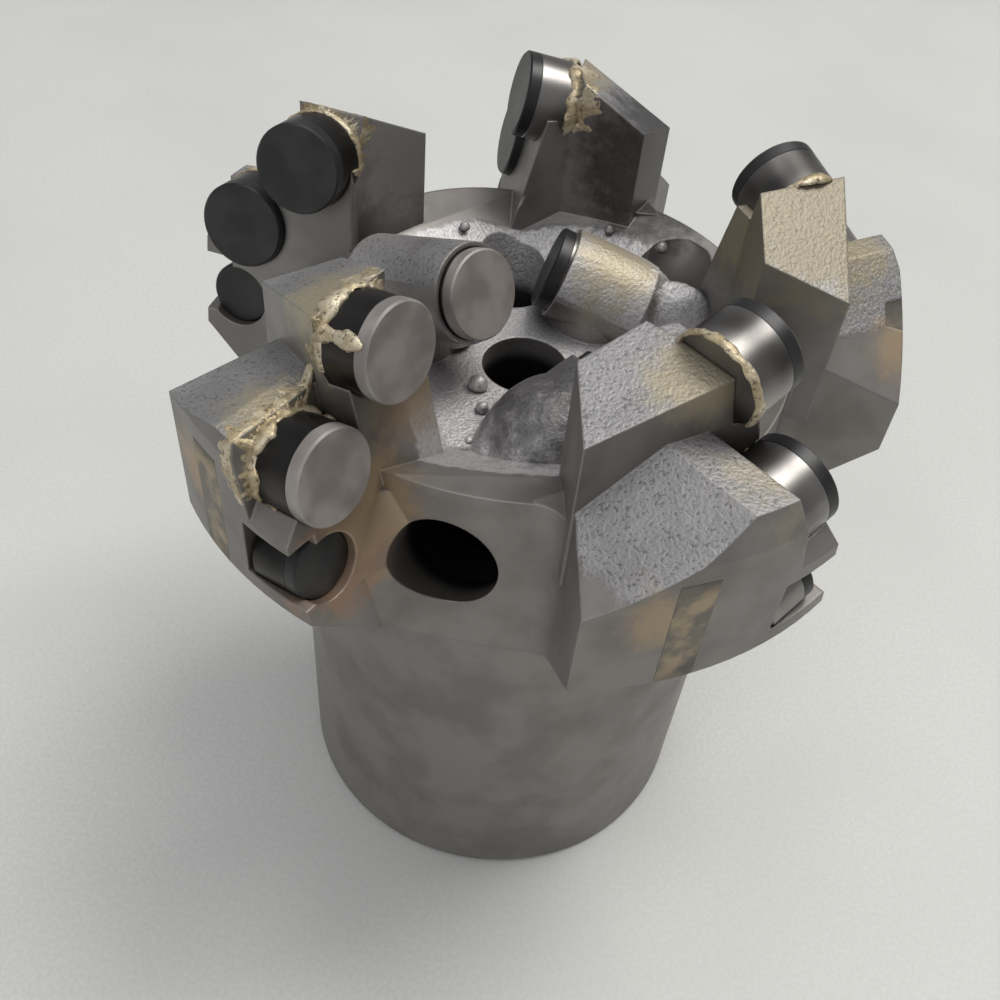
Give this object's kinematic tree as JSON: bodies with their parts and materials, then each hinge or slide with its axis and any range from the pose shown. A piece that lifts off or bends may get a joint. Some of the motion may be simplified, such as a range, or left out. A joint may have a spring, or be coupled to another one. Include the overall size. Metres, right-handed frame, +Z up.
{
  "type": "drag drill bit",
  "caption": "Steel-bodied drag drill bit: stepped blades carry brazed diamond cutters round a dished face, on a plain hollow shank with a box thread.",
  "frame": {"origin": "centre of the shank's open end face", "axes": "+Z up along the bit's axis from the shank's end to the cutting face; +X is a fixed direction across the shank, 45 degrees from blade a, which lies at -45 degrees"},
  "size_m": [0.112, 0.1124, 0.1309],
  "materials": {
    "body_steel": "machined and blasted grey steel with braze stains",
    "cutter": "near-black diamond table on a dark ground carbide stud",
    "gauge_carbide": "ground carbide strip with braze stains"
  },
  "bodies": {
    "root": {"bit_body": "body_steel", "cutter_a_gauge": "cutter", "cutter_a_inner": "cutter", "cutter_a_nose": "cutter", "cutter_a_shoulder": "cutter", "cutter_b_gauge": "cutter", "cutter_b_inner": "cutter", "cutter_b_nose": "cutter", "cutter_b_shoulder": "cutter", "cutter_c_gauge": "cutter", "cutter_c_nose": "cutter", "cutter_c_shoulder": "cutter", "cutter_d_gauge": "cutter", "cutter_d_inner": "cutter", "cutter_d_nose": "cutter", "cutter_d_shoulder": "cutter", "cutter_e_gauge": "cutter", "cutter_e_nose": "cutter", "cutter_e_shoulder": "cutter", "gauge_strip_a": "gauge_carbide", "gauge_strip_b": "gauge_carbide", "gauge_strip_c": "gauge_carbide", "gauge_strip_d": "gauge_carbide", "gauge_strip_e": "gauge_carbide"}
  },
  "joints": []
}
